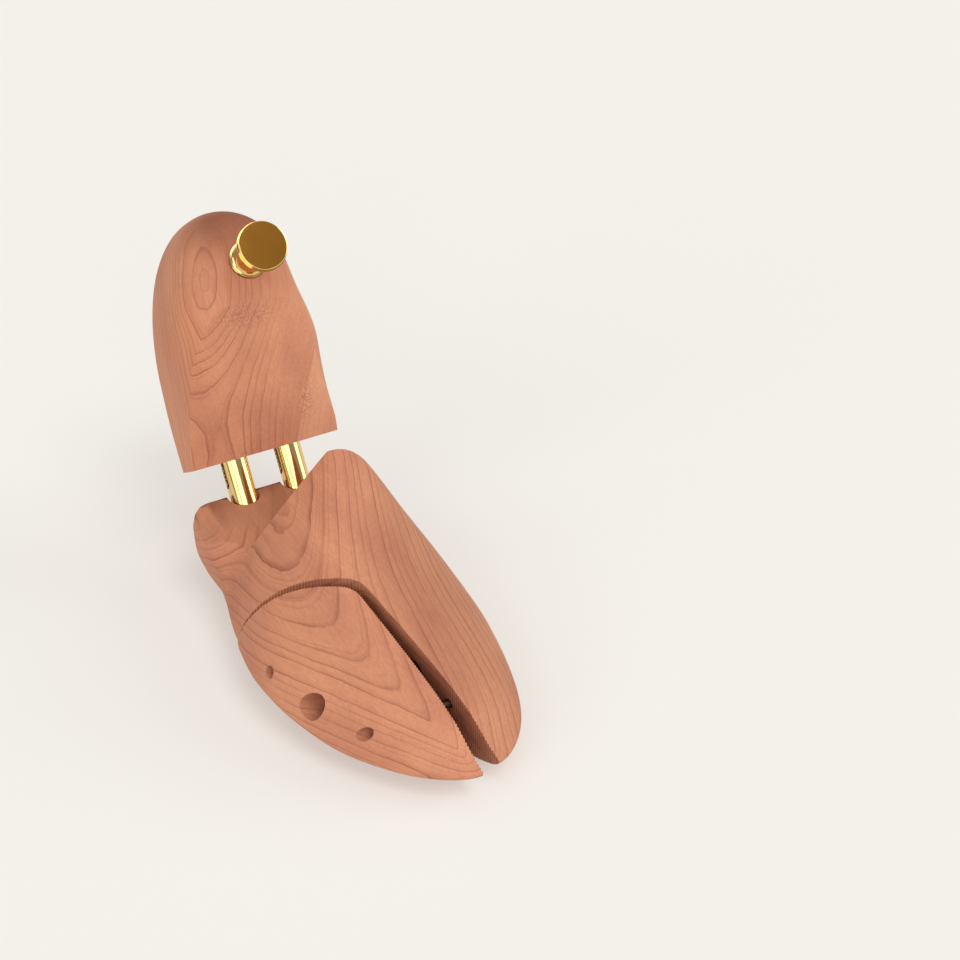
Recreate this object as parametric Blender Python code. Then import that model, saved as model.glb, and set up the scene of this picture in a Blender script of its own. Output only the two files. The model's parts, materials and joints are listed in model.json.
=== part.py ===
"""Cedar shoe tree for a right shoe: split toe block, twin sprung brass tubes, heel block with knob.

Metres, +Z up, +X towards the toe, +Y towards the inner side of the foot.
The toe block stands on its flat sole. The heel block is swung up about the hinge pin.
"""
import math

import bmesh
import bpy
import numpy as np
from mathutils import Matrix, Vector

for old in list(bpy.data.objects):
    bpy.data.objects.remove(old, do_unlink=True)

# Driving sizes of the toe block
toe_length = 0.1580
ball_half_width = 0.042
tongue_height = 0.0662
toe_round_length = 0.0645
hinge_from_rear = 0.010
hinge_height = 0.019
sole_centre_from_hinge = 0.058
rear_corner_radius = 0.009
shelf_height = 0.0318
shelf_round_height = 0.0080
shelf_round_share = 0.26
shelf_side_margin_share = 0.02
tongue_from_hinge = 0.0285
tongue_hollow = 0.004

# Saw cut that frees the flap
saw_kerf = 0.0014
cut_corner_ahead = 0.0755
cut_corner_aside = -0.0030
cut_corner_radius = 0.010
cut_side_back = 0.0225
cut_toe_aside = 0.0100
flap_open_angle = math.radians(2.75)
flap_pivot_ahead = 0.033
flap_pivot_aside = -0.040

# Flap guide pins, screw and spring
rear_guide_height = 0.0212
front_guide_height = 0.0186
rear_guide_ahead = 0.0820
flap_screw_ahead = 0.1035
front_guide_ahead = 0.1225
guide_pin_radius = 0.0015
guide_bore_radius = 0.0031
guide_hole_radius = 0.0022
guide_pin_in_block = 0.014
guide_pin_in_flap = 0.014
guide_bore_in_flap = 0.018
screw_hole_radius = 0.0045
screw_head_radius = 0.0033
screw_head_height = 0.0025
screw_shank_radius = 0.0020
screw_shank_hole_radius = 0.0031
screw_in_block = 0.026
screw_floor_aside = -0.0225
screw_web_thickness = 0.005
flap_spring_radius = 0.0042
flap_spring_wire = 0.0010
flap_spring_turns = 6
spring_pocket_radius = 0.0058
spring_pocket_in_block = 0.009

# Brass tubes and their pins
tube_radius = 0.00525
tube_wall = 0.0005
tube_spacing = 0.022
tube_toe_end = 0.005
tube_heel_end = 0.085
tube_raise_angle = math.radians(58.5)
hinge_pin_radius = 0.0020
hinge_pin_length = 0.052
slot_toe_end = 0.0190
slot_width = 0.0036
heel_pin_from_hinge = 0.0400
heel_pin_radius = 0.0015
heel_pin_length = 0.056
tube_spring_radius = 0.0042
tube_spring_wire = 0.0009
tube_spring_turns = 11
tube_groove_clearance = 0.0008
tube_pocket_clearance = 0.0010
hinge_pocket_radius = 0.0078

# Heel block
heel_face_from_hinge = 0.0295
heel_length = 0.0910
heel_half_width = 0.0313
heel_front_aside = 0.0010
heel_rear_aside = 0.0012
heel_round_start = 0.062
heel_underside = -0.0185
heel_crown = 0.0430
heel_face_top = 0.0084
facet_angle = math.radians(32.0)
side_facet_start_aside = 0.0125
side_facet_peak_aside = 0.0222
side_facet_drop = 0.0045
side_facet_reach = 0.0325
heel_bore_depth = 0.074
heel_tip_level = 0.008
heel_drop_start_share = 0.3

# Knob, set into the heel block's crown
knob_back_share = 0.7538
knob_aside = 0.0017
knob_seat_depth = 0.0005
knob_lean = math.radians(5.4)
knob_height = 0.0206
knob_face_radius = 0.0081
knob_shoulder_height = 0.0013
knob_shoulder_step = 0.0003
knob_lip_radius = 0.00905
knob_lip_height = 0.0006
knob_flare_height = 0.0056
knob_neck_radius = 0.0044
knob_foot_flare_height = 0.0050
knob_flange_radius = 0.0068
knob_flange_height = 0.0015
knob_edge_bevel = 0.00035
knob_stud_radius = 0.0020
knob_stud_in_wood = 0.014
knob_stud_in_knob = 0.007

# Clearances and overrun
touch_gap = 0.0003
tube_bore_clearance = 0.0004
cut_overrun = 0.030

# Mesh fineness
toe_rings = 44
heel_rings = 32
ring_points = 44
round_sides = 24
pin_sides = 16
spring_points_per_turn = 8
knob_sides = 32
knob_curve_steps = 4
rear_corner_rings = 4
shelf_rows = 6
shelf_flat_steps = 8
shelf_round_steps = 6
cut_corner_steps = 8
slot_end_steps = 10
last_ring_share = 0.9997

# Toe block: place along its length, then half width, centre line, top, ridge line, widest level,
# underside and the fullness of the outer flank, the inner flank and the lower half. Widths are shares
# of the ball's half width and heights are shares of the tongue's height.
toe_station_shares = (
    (0.000, 0.720, -0.085, 1.000, 0.224, 0.370, 0.110, 2.60, 2.20, 3.00),
    (0.094, 0.745, -0.070, 1.000, 0.224, 0.370, 0.000, 1.90, 2.05, 3.00),
    (0.200, 0.775, -0.035, 1.000, 0.224, 0.330, -0.015, 1.00, 2.10, 2.90),
    (0.240, 0.806, -0.026, 0.990, 0.214, 0.300, -0.018, 1.06, 2.10, 3.00),
    (0.339, 0.908, -0.007, 0.860, 0.167, 0.250, -0.018, 1.36, 1.98, 2.70),
    (0.420, 0.962, 0.008, 0.758, 0.125, 0.230, -0.018, 1.64, 1.90, 2.35),
    (0.502, 0.982, 0.014, 0.675, 0.083, 0.220, -0.018, 1.90, 1.80, 2.30),
    (0.596, 0.950, 0.026, 0.602, 0.060, 0.213, -0.018, 2.05, 1.85, 2.30),
    (0.690, 0.900, 0.048, 0.545, 0.060, 0.200, -0.018, 2.05, 1.95, 2.30),
    (0.784, 0.860, 0.086, 0.498, 0.083, 0.180, -0.018, 2.05, 2.05, 2.30),
    (0.865, 0.815, 0.140, 0.458, 0.119, 0.170, -0.014, 2.05, 2.05, 2.30),
    (0.922, 0.775, 0.175, 0.406, 0.143, 0.166, -0.008, 2.05, 2.05, 2.30),
    (0.966, 0.710, 0.200, 0.300, 0.167, 0.165, 0.000, 2.05, 2.05, 2.30),
    (1.000, 0.640, 0.220, 0.230, 0.186, 0.165, 0.006, 2.05, 2.05, 2.30),
)

# Heel block: place along its length, then half width, crown, widest level, ridge line, the fullness
# of the outer and inner flank and how far the inner flank leans in at the top. The crown is a share
# of the crown's height, the widest level a share of the rear tip's level and the ridge line a share
# of the half width.
heel_station_shares = (
    (0.000, 0.985, 0.840, -0.25, 0.00, 3.50, 1.95, 0.00),
    (0.210, 0.985, 0.890, -0.20, 0.00, 3.60, 1.85, 0.06),
    (0.360, 0.970, 0.925, -0.10, -0.03, 4.00, 2.40, 0.11),
    (0.530, 0.950, 0.973, 0.00, -0.10, 3.60, 4.20, 0.24),
    (0.640, 0.940, 0.997, 0.12, -0.13, 3.90, 4.60, 0.28),
    (0.700, 0.937, 1.003, 0.22, -0.11, 3.50, 4.40, 0.26),
    (0.820, 0.932, 0.990, 0.45, -0.04, 2.70, 3.70, 0.16),
    (0.905, 0.930, 0.955, 0.70, 0.02, 2.50, 3.20, 0.07),
    (0.970, 0.930, 0.870, 0.90, 0.04, 2.35, 2.80, 0.02),
    (1.000, 0.930, 0.790, 1.00, 0.04, 2.30, 2.60, 0.00),
)
heel_end_fullness = 3.0
heel_round_fullness = 2.1
heel_lower_fullness = 2.5
heel_underside_spill_share = 0.05


def make_material(name, colour, metallic, roughness):
    material = bpy.data.materials.new(name)
    material.use_nodes = True
    shader = material.node_tree.nodes["Principled BSDF"]
    shader.inputs["Base Color"].default_value = (*colour, 1.0)
    shader.inputs["Metallic"].default_value = metallic
    shader.inputs["Roughness"].default_value = roughness
    return material


cedar = (0.60, 0.25, 0.15)
brass = (0.78, 0.56, 0.22)
steel = (0.55, 0.55, 0.56)


def make_empty(name, place, turn=(0.0, 0.0, 0.0)):
    empty = bpy.data.objects.new(name, None)
    bpy.context.collection.objects.link(empty)
    empty.location = place
    empty.rotation_euler = turn
    return empty


def add_object(name, data, parent, material=None, offset=(0.0, 0.0, 0.0)):
    thing = bpy.data.objects.new(name, data)
    bpy.context.collection.objects.link(thing)
    thing.parent = parent
    thing.location = offset
    if material:
        data.materials.append(material)
    return thing


def mesh_from(bm, name):
    bmesh.ops.recalc_face_normals(bm, faces=bm.faces)
    mesh = bpy.data.meshes.new(name)
    bm.to_mesh(mesh)
    bm.free()
    return mesh


def soften(mesh, angle=35.0):
    mesh.shade_smooth()
    mesh.set_sharp_from_angle(angle=math.radians(angle))


def as_cutter(thing):
    thing.hide_render = True
    thing.display_type = "WIRE"


def cut(target, cutter, operation="DIFFERENCE"):
    modifier = target.modifiers.new(cutter.name, "BOOLEAN")
    modifier.operation = operation
    modifier.object = cutter


def flowing(table, column, share):
    """Smooth curve through one column of a station table, read at a share of the length."""
    places = np.array([row[0] for row in table])
    values = np.array([row[column] for row in table])
    slopes = np.gradient(values, places)
    at = int(np.clip(np.searchsorted(places, share) - 1, 0, len(places) - 2))
    span = places[at + 1] - places[at]
    t = (share - places[at]) / span
    rise = values[at + 1] - values[at]
    near, far = slopes[at] * span, slopes[at + 1] * span
    return values[at] + t * near + t * t * (3 * rise - 2 * near - far) + t ** 3 * (near + far - 2 * rise)


def arc_power(value, fullness):
    return math.copysign(abs(value) ** (2.0 / fullness), value)


def ring_shape(outer, inner, ridge, top, widest, bottom, floor, outer_full, inner_full, low_full, lean=0.0):
    """Cross section: two unlike upper flanks that meet on the ridge, over a flat-bottomed bowl."""
    points = []
    for index in range(ring_points):
        angle = 2.0 * math.pi * index / ring_points
        across, up = math.cos(angle), math.sin(angle)
        if up >= 0.0:
            full = inner_full if across >= 0.0 else outer_full
            reach = inner - ridge if across >= 0.0 else ridge - outer
            rise = arc_power(up, full)
            if across >= 0.0:
                reach *= 1.0 - lean * rise
            points.append((ridge + reach * arc_power(across, full), widest + (top - widest) * rise))
        else:
            middle, half = (inner + outer) / 2.0, (inner - outer) / 2.0
            low = widest + (widest - bottom) * arc_power(up, low_full)
            points.append((middle + half * arc_power(across, low_full), max(low, floor)))
    return points


def loft(name, rings):
    """Skin of a row of rings, closed by a face at each end."""
    bm = bmesh.new()
    rows = [[bm.verts.new(point) for point in ring] for ring in rings]
    for near, far in zip(rows, rows[1:]):
        for index in range(len(near)):
            after = (index + 1) % len(near)
            bm.faces.new((near[index], near[after], far[after], far[index]))
    bm.faces.new(rows[0])
    bm.faces.new(rows[-1])
    bmesh.ops.triangulate(bm, faces=[face for face in bm.faces if len(face.verts) > 4])
    return mesh_from(bm, name)


def extrude_outline(name, outline, direction):
    """Solid between a closed outline and the same outline moved along a direction."""
    bm = bmesh.new()
    base = bm.faces.new([bm.verts.new(point) for point in outline])
    made = bmesh.ops.extrude_face_region(bm, geom=[base])
    moved = [item for item in made["geom"] if isinstance(item, bmesh.types.BMVert)]
    bmesh.ops.translate(bm, verts=moved, vec=direction)
    return mesh_from(bm, name)


def lathe(name, profile, sides, axis_turn=None):
    """Solid turned about Z from (radius, height) points. A radius of zero closes an end."""
    bm = bmesh.new()
    rows = []
    for radius, height in profile:
        if radius <= 0.0:
            rows.append([bm.verts.new((0.0, 0.0, height))])
            continue
        steps = [2.0 * math.pi * k / sides for k in range(sides)]
        rows.append([bm.verts.new((radius * math.cos(a), radius * math.sin(a), height)) for a in steps])
    for near, far in zip(rows, rows[1:]):
        for k in range(sides):
            after = (k + 1) % sides
            corners = [near[k % len(near)], near[after % len(near)], far[after % len(far)], far[k % len(far)]]
            unique = list(dict.fromkeys(corners))
            if len(unique) > 2:
                bm.faces.new(unique)
    if axis_turn:
        bmesh.ops.transform(bm, matrix=axis_turn, verts=bm.verts)
    return mesh_from(bm, name)


def rod_points(radius, low, high):
    return ((0.0, low), (radius, low), (radius, high), (0.0, high))


along_y = Matrix.Rotation(-math.pi / 2.0, 4, "X")
along_x_back = Matrix.Rotation(-math.pi / 2.0, 4, "Y")


def rod_y(name, radius, low, high, place, sides=pin_sides):
    """Round rod along Y between two places, its axis through the given point."""
    mesh = lathe(name, rod_points(radius, low, high), sides, along_y)
    mesh.transform(Matrix.Translation(place))
    return mesh


def stepped_y(name, low, steps, place, sides=pin_sides):
    """Stepped round solid along Y: it starts at low, and each step gives a radius and where it ends."""
    profile = [(0.0, low)]
    start = low
    for radius, end in steps:
        profile += [(radius, start), (radius, end)]
        start = end
    profile.append((0.0, start))
    mesh = lathe(name, profile, sides, along_y)
    mesh.transform(Matrix.Translation(place))
    return mesh


def rod_back(name, radius, near, far, place, sides=round_sides):
    """Round rod along the tubes, from one distance behind the hinge to another."""
    mesh = lathe(name, rod_points(radius, near, far), sides, along_x_back)
    mesh.transform(Matrix.Translation(place))
    return mesh


# Axes: the toe block's own frame starts under the hinge, on the floor
hinge_x = -sole_centre_from_hinge
toe_frame = make_empty("toe_frame", (hinge_x, 0.0, 0.0))
tube_axis = make_empty("tube_hinge_axis", (hinge_x, 0.0, hinge_height), (0.0, tube_raise_angle, 0.0))
flap_place = (hinge_x + flap_pivot_ahead, flap_pivot_aside, 0.0)
flap_axis = make_empty("flap_swing_axis", flap_place, (0.0, 0.0, -flap_open_angle))
flap_offset = (-flap_pivot_ahead, -flap_pivot_aside, 0.0)

toe_rear = -hinge_from_rear
toe_tip = toe_rear + toe_length
round_start = toe_tip - toe_round_length


def toe_sizes(ahead):
    """Sizes of the toe block's section before its two ends are rounded."""
    share = (ahead - toe_rear) / toe_length
    column = [flowing(toe_station_shares, k, share) for k in range(1, 10)]
    half, centre, top, ridge, widest, bottom, outer_full, inner_full, low_full = column
    half, centre, ridge = half * ball_half_width, centre * ball_half_width, ridge * ball_half_width
    return half, centre, top, ridge, widest, bottom, outer_full, inner_full, low_full


def toe_ring(ahead):
    """Cross section of the toe block at a distance ahead of the hinge."""
    half, centre, top, ridge, widest, bottom, outer_full, inner_full, low_full = toe_sizes(ahead)
    top, widest, bottom = top * tongue_height, widest * tongue_height, bottom * tongue_height
    past = max(0.0, (ahead - round_start) / toe_round_length)
    shrink = math.sqrt(max(0.0, 1.0 - past * past))
    from_rear = ahead - toe_rear
    if from_rear < rear_corner_radius:
        from_middle = rear_corner_radius - from_rear
        half -= rear_corner_radius - math.sqrt(rear_corner_radius ** 2 - from_middle ** 2)
    half *= shrink
    ridge = centre + (ridge - centre) * shrink
    top = widest + (top - widest) * shrink
    bottom = widest + (bottom - widest) * shrink
    section = ring_shape(centre - half, centre + half, ridge, top, widest, bottom, 0.0,
                         outer_full, inner_full, low_full)
    return [(ahead, y, z) for y, z in section]


def toe_places():
    """Ring places: even along the body, closer together into the rounded ends."""
    tip_steps = toe_rings // 3
    body_steps = toe_rings - rear_corner_rings - tip_steps
    places = [toe_rear + rear_corner_radius * (1.0 - math.cos(math.pi / 2.0 * k / rear_corner_rings))
              for k in range(rear_corner_rings)]
    body_start = toe_rear + rear_corner_radius
    places += [body_start + (round_start - body_start) * k / body_steps for k in range(body_steps)]
    last_turn = math.asin(last_ring_share)
    places += [round_start + toe_round_length * math.sin(last_turn * k / tip_steps)
               for k in range(tip_steps + 1)]
    return places


def whole_toe(name):
    return loft(name, [toe_ring(ahead) for ahead in toe_places()])


# Saw cut: straight from the outer side, round one corner, then a slightly bent run to the toe
def saw_path():
    corner = Vector((cut_corner_ahead, cut_corner_aside))
    side = Vector((cut_corner_ahead - cut_side_back, flap_pivot_aside))
    toe = Vector((toe_tip, cut_toe_aside))
    back, ahead = (side - corner).normalized(), (toe - corner).normalized()
    half_angle = back.angle(ahead) / 2.0
    reach = cut_corner_radius / math.tan(half_angle)
    start, end = corner + back * reach, corner + ahead * reach
    centre = corner + (back + ahead).normalized() * (cut_corner_radius / math.sin(half_angle))
    first = math.atan2(start.y - centre.y, start.x - centre.x)
    last = math.atan2(end.y - centre.y, end.x - centre.x)
    sweep = (last - first + math.pi) % (2.0 * math.pi) - math.pi
    path = [side + back * cut_overrun]
    for k in range(cut_corner_steps + 1):
        angle = first + sweep * k / cut_corner_steps
        path.append(centre + cut_corner_radius * Vector((math.cos(angle), math.sin(angle))))
    path.append(toe + ahead * cut_overrun)
    return path


def beside(path, distance):
    """The path moved sideways, to the right of its direction of travel."""
    moved = []
    for index, point in enumerate(path):
        before = path[max(index - 1, 0)]
        after = path[min(index + 1, len(path) - 1)]
        way = (after - before).normalized()
        moved.append(point + Vector((way.y, -way.x)) * distance)
    return moved


def flap_region(name, distance):
    """Upright prism over the flap's side of the saw cut."""
    run = beside(saw_path(), distance)
    outside = -ball_half_width - cut_overrun
    outline = [(p.x, p.y, -cut_overrun) for p in run]
    outline.append((run[-1].x, outside, -cut_overrun))
    outline.append((run[0].x, outside, -cut_overrun))
    return extrude_outline(name, outline, (0.0, 0.0, tongue_height + 2.0 * cut_overrun))


toe_block = add_object("toe_block", whole_toe("toe_block"), toe_frame,
                       make_material("toe_block_cedar", cedar, 0.0, 0.55))
toe_flap = add_object("toe_flap", whole_toe("toe_flap"), flap_axis,
                      make_material("toe_flap_cedar", cedar, 0.0, 0.55), flap_offset)
soften(toe_block.data)
soften(toe_flap.data)

main_side = add_object("saw_cut_main_side", flap_region("saw_cut_main_side", -saw_kerf / 2.0), toe_frame)
flap_side = add_object("saw_cut_flap_side", flap_region("saw_cut_flap_side", saw_kerf / 2.0), flap_axis,
                       None, flap_offset)
as_cutter(main_side)
as_cutter(flap_side)
cut(toe_block, main_side)
cut(toe_flap, flap_side, "INTERSECT")


# Rear step: a level shelf that rounds over at both sides, and an upright wall, hollow in plan
def shelf_columns():
    """Sideways places as shares of the half width, each with how far the shelf has dropped there."""
    flat = 1.0 - shelf_round_share
    columns = [(flat * k / shelf_flat_steps, 0.0) for k in range(shelf_flat_steps + 1)]
    for k in range(1, shelf_round_steps + 1):
        turn = math.pi / 2.0 * k / shelf_round_steps
        drop = shelf_round_height * (1.0 - math.cos(turn))
        columns.append((flat + shelf_round_share * math.sin(turn), drop))
    columns.append((1.0 + cut_overrun / ball_half_width, shelf_round_height))
    return [(-share, drop) for share, drop in reversed(columns[1:])] + columns


def rear_step():
    start = toe_rear - cut_overrun
    columns = shelf_columns()
    bm = bmesh.new()
    floor, lid = [], []
    for row in range(shelf_rows + 1):
        nominal = start + (tongue_from_hinge - start) * row / shelf_rows
        half, centre = toe_sizes(max(nominal, toe_rear))[:2]
        half *= 1.0 + shelf_side_margin_share
        for level in (floor, lid):
            level.append([])
        for share, drop in columns:
            aside = centre + half * share
            ahead = nominal - tongue_hollow * (aside / ball_half_width) ** 2
            floor[-1].append(bm.verts.new((ahead, aside, shelf_height - drop)))
            lid[-1].append(bm.verts.new((ahead, aside, tongue_height + cut_overrun)))
    for near, far, low_near, low_far in zip(lid, lid[1:], floor, floor[1:]):
        for k in range(len(columns) - 1):
            bm.faces.new((near[k], near[k + 1], far[k + 1], far[k]))
            bm.faces.new((low_near[k], low_far[k], low_far[k + 1], low_near[k + 1]))
        for k in (0, -1):
            bm.faces.new((near[k], far[k], low_far[k], low_near[k]))
    for row in (0, -1):
        for k in range(len(columns) - 1):
            bm.faces.new((lid[row][k], lid[row][k + 1], floor[row][k + 1], floor[row][k]))
    bmesh.ops.triangulate(bm, faces=bm.faces)
    return mesh_from(bm, "rear_step")


step_cutter = add_object("rear_step", rear_step(), toe_frame)
as_cutter(step_cutter)
cut(toe_block, step_cutter)


# Tube grooves: what each tube sweeps between lying in line and standing against the notch
def tube_groove(name, aside):
    half_width = tube_radius + tube_groove_clearance
    half_depth = tube_radius + touch_gap
    reach = hinge_from_rear + cut_overrun
    bm = bmesh.new()
    for raised in (0.0, tube_raise_angle):
        turn = Matrix.Rotation(raised, 4, "Y")
        for back in (0.0, reach):
            for k in range(round_sides):
                angle = 2.0 * math.pi * k / round_sides
                point = turn @ Vector((-back, half_width * math.cos(angle), half_depth * math.sin(angle)))
                bm.verts.new(point + Vector((0.0, aside, hinge_height)))
    hull = bmesh.ops.convex_hull(bm, input=bm.verts)
    inside = hull["geom_interior"] + hull["geom_unused"]
    loose = {item for item in inside if isinstance(item, bmesh.types.BMVert)}
    bmesh.ops.delete(bm, geom=list(loose), context="VERTS")
    bmesh.ops.dissolve_limit(bm, angle_limit=math.radians(0.5), verts=bm.verts, edges=bm.edges)
    bmesh.ops.triangulate(bm, faces=bm.faces)
    return mesh_from(bm, name)


tube_sides = (("outer", -tube_spacing / 2.0), ("inner", tube_spacing / 2.0))
for side_name, aside in tube_sides:
    groove = add_object("tube_groove_" + side_name, tube_groove("tube_groove_" + side_name, aside), toe_frame)
    as_cutter(groove)
    cut(toe_block, groove)

# Hinge pin in its bore, drilled from the inner side and blind at the outer side, with a wider
# pocket round each tube's end
pin_hole = hinge_pin_radius + touch_gap
pocket_half_width = tube_radius + tube_pocket_clearance
bore_steps = []
for side_name, aside in sorted(tube_sides, key=lambda side: side[1]):
    bore_steps += [(pin_hole, aside - pocket_half_width), (hinge_pocket_radius, aside + pocket_half_width)]
bore_steps.append((pin_hole, ball_half_width + cut_overrun))
bore_start = -hinge_pin_length / 2.0 - touch_gap
hinge_bore = add_object("hinge_bore", stepped_y("hinge_bore", bore_start, bore_steps,
                                                (0.0, 0.0, hinge_height), round_sides), toe_frame)
as_cutter(hinge_bore)
cut(toe_block, hinge_bore)
hinge_pin_mesh = rod_y("hinge_pin", hinge_pin_radius, -hinge_pin_length / 2.0, hinge_pin_length / 2.0,
                       (0.0, 0.0, hinge_height))
hinge_pin = add_object("hinge_pin", hinge_pin_mesh, toe_frame,
                       make_material("hinge_pin_brass", brass, 1.0, 0.25))

# Guide pins, screw and spring of the flap, all square to the block's length
along_run = Vector((toe_tip - cut_corner_ahead, cut_toe_aside - cut_corner_aside))


def cut_aside(ahead):
    """Sideways place of the long run of the saw cut."""
    return cut_corner_aside + along_run.y * (ahead - cut_corner_ahead) / along_run.x


def bore_height(ahead):
    """The bores lie on one line that falls towards the toe."""
    share = (ahead - rear_guide_ahead) / (front_guide_ahead - rear_guide_ahead)
    return rear_guide_height + (front_guide_height - rear_guide_height) * share


def flap_bore_place(ahead):
    """Place of a flap bore, set back so that it is true to its pin half way through the swing."""
    swing = math.sin(flap_open_angle) * (cut_aside(ahead) - flap_pivot_aside)
    return ahead - swing / 2.0, 0.0, bore_height(ahead)


outside = -ball_half_width - cut_overrun
for pin_name, ahead in (("rear", rear_guide_ahead), ("front", front_guide_ahead)):
    wall = cut_aside(ahead)
    place = (ahead, 0.0, bore_height(ahead))
    block_end = wall + saw_kerf / 2.0 + guide_pin_in_block
    pin_mesh = rod_y("flap_guide_pin_" + pin_name, guide_pin_radius, wall - guide_pin_in_flap,
                     block_end, place)
    pin_steel = make_material("flap_guide_pin_" + pin_name + "_steel", steel, 1.0, 0.35)
    add_object("flap_guide_pin_" + pin_name, pin_mesh, toe_frame, pin_steel)
    seat_mesh = rod_y("guide_seat_" + pin_name, guide_pin_radius + touch_gap, wall - cut_overrun,
                      block_end + touch_gap, place)
    seat = add_object("guide_seat_" + pin_name, seat_mesh, toe_frame)
    as_cutter(seat)
    cut(toe_block, seat)
    steps = ((guide_hole_radius, wall - guide_bore_in_flap), (guide_bore_radius, wall + cut_overrun))
    bore = add_object("guide_bore_" + pin_name,
                      stepped_y("guide_bore_" + pin_name, outside, steps, flap_bore_place(ahead)),
                      flap_axis, None, flap_offset)
    as_cutter(bore)
    cut(toe_flap, bore)

screw_wall = cut_aside(flap_screw_ahead)
screw_place = (flap_screw_ahead, 0.0, bore_height(flap_screw_ahead))
web_kerf_side = screw_floor_aside + screw_web_thickness
screw_end = screw_wall + screw_in_block
pocket_end = screw_wall + saw_kerf / 2.0 + spring_pocket_in_block
opening = math.sin(flap_open_angle) * (flap_screw_ahead - flap_pivot_ahead)
head_seat = screw_floor_aside - touch_gap - opening
screw_steps = ((screw_head_radius, head_seat), (screw_shank_radius, screw_end))
add_object("flap_screw", stepped_y("flap_screw", head_seat - screw_head_height, screw_steps, screw_place),
           toe_frame, make_material("flap_screw_steel", steel, 1.0, 0.35))

block_steps = ((spring_pocket_radius, pocket_end), (screw_shank_radius + touch_gap, screw_end + touch_gap))
pocket_mesh = stepped_y("screw_bore_block", screw_wall - cut_overrun, block_steps, screw_place, round_sides)
block_pocket = add_object("screw_bore_block", pocket_mesh, toe_frame)
as_cutter(block_pocket)
cut(toe_block, block_pocket)
flap_steps = ((screw_hole_radius, screw_floor_aside), (screw_shank_hole_radius, web_kerf_side),
              (spring_pocket_radius, screw_wall + cut_overrun))
flap_pocket = add_object("screw_bore_flap", stepped_y("screw_bore_flap", outside, flap_steps,
                                                      flap_bore_place(flap_screw_ahead), round_sides),
                         flap_axis, None, flap_offset)
as_cutter(flap_pocket)
cut(toe_flap, flap_pocket)


def least_gap(points, wire):
    """Least gap between the wire and itself, measured between points at least half a turn apart."""
    spots = np.array(points)
    apart = spring_points_per_turn // 2
    gaps = [np.linalg.norm(spots[k + apart:] - spots[k], axis=1).min() for k in range(len(spots) - apart)]
    nearest = min(gaps)
    return nearest - wire


def spring_curve(name, radius, wire, turns, length, place_point):
    """Wire coiled at an even pitch, its ends inside the given length."""
    steps = turns * spring_points_per_turn
    coil_radius = radius - wire / 2.0
    rise = length - wire
    points = []
    for k in range(steps + 1):
        angle = 2.0 * math.pi * k / spring_points_per_turn
        points.append(place_point(coil_radius * math.cos(angle), coil_radius * math.sin(angle),
                                  wire / 2.0 + rise * k / steps))
    print(name, "least gap to itself in millimetres:", round(1000.0 * least_gap(points, wire), 2))
    curve = bpy.data.curves.new(name, "CURVE")
    curve.dimensions = "3D"
    curve.bevel_depth = wire / 2.0
    curve.bevel_resolution = 1
    curve.use_fill_caps = True
    spline = curve.splines.new("POLY")
    spline.points.add(len(points) - 1)
    for knot, point in zip(spline.points, points):
        knot.co = (*point, 1.0)
    return curve


flap_spring_low = web_kerf_side - opening + 2.0 * touch_gap
flap_spring_length = pocket_end - touch_gap - flap_spring_low
flap_spring = spring_curve("flap_spring", flap_spring_radius, flap_spring_wire, flap_spring_turns,
                           flap_spring_length,
                           lambda a, b, s: (flap_screw_ahead + a, flap_spring_low + s, screw_place[2] + b))
add_object("flap_spring", flap_spring, toe_frame, make_material("flap_spring_steel", steel, 1.0, 0.3))

# Tubes, each with a hinge hole and a slot through both side walls
slot_heel_end = heel_pin_from_hinge + heel_pin_radius + touch_gap


def slot_outline():
    half = slot_width / 2.0
    outline = []
    for centre, start in ((slot_heel_end - half, -math.pi / 2.0), (slot_toe_end + half, math.pi / 2.0)):
        for k in range(slot_end_steps + 1):
            angle = start + math.pi * k / slot_end_steps
            back = centre + half * math.cos(angle)
            outline.append((-back, -tube_radius - cut_overrun, half * math.sin(angle)))
    return outline


for side_name, aside in tube_sides:
    name = "tube_" + side_name
    inner = tube_radius - tube_wall
    wall_profile = ((inner, -tube_toe_end), (tube_radius, -tube_toe_end), (tube_radius, tube_heel_end),
                    (inner, tube_heel_end))
    mesh = lathe(name, wall_profile, round_sides, along_x_back)
    bm = bmesh.new()
    bm.from_mesh(mesh)
    rims = [edge for edge in bm.edges if edge.is_boundary]
    bmesh.ops.bridge_loops(bm, edges=rims)
    bmesh.ops.recalc_face_normals(bm, faces=bm.faces)
    bm.to_mesh(mesh)
    bm.free()
    mesh.transform(Matrix.Translation((0.0, aside, 0.0)))
    soften(mesh)
    tube = add_object(name, mesh, tube_axis, make_material(name + "_brass", brass, 1.0, 0.15))
    slot = add_object("slot_" + side_name,
                      extrude_outline("slot_" + side_name, slot_outline(),
                                      (0.0, 2.0 * (tube_radius + cut_overrun), 0.0)), tube_axis)
    slot.location = (0.0, aside, 0.0)
    eye = add_object("hinge_eye_" + side_name,
                     rod_y("hinge_eye_" + side_name, hinge_pin_radius + touch_gap, -cut_overrun, cut_overrun,
                           (0.0, aside, 0.0)), tube_axis)
    for thing in (slot, eye):
        as_cutter(thing)
        cut(tube, thing)
    spring_near = hinge_pin_radius + touch_gap
    spring_length = heel_pin_from_hinge - heel_pin_radius - touch_gap - spring_near
    coil = spring_curve("tube_spring_" + side_name, tube_spring_radius, tube_spring_wire, tube_spring_turns,
                        spring_length,
                        lambda a, b, s, y=aside: (-(spring_near + s), y + a, b))
    add_object("tube_spring_" + side_name, coil, tube_axis,
               make_material("tube_spring_" + side_name + "_steel", steel, 1.0, 0.3))

# Heel block
heel_rear = heel_face_from_hinge + heel_length


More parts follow.
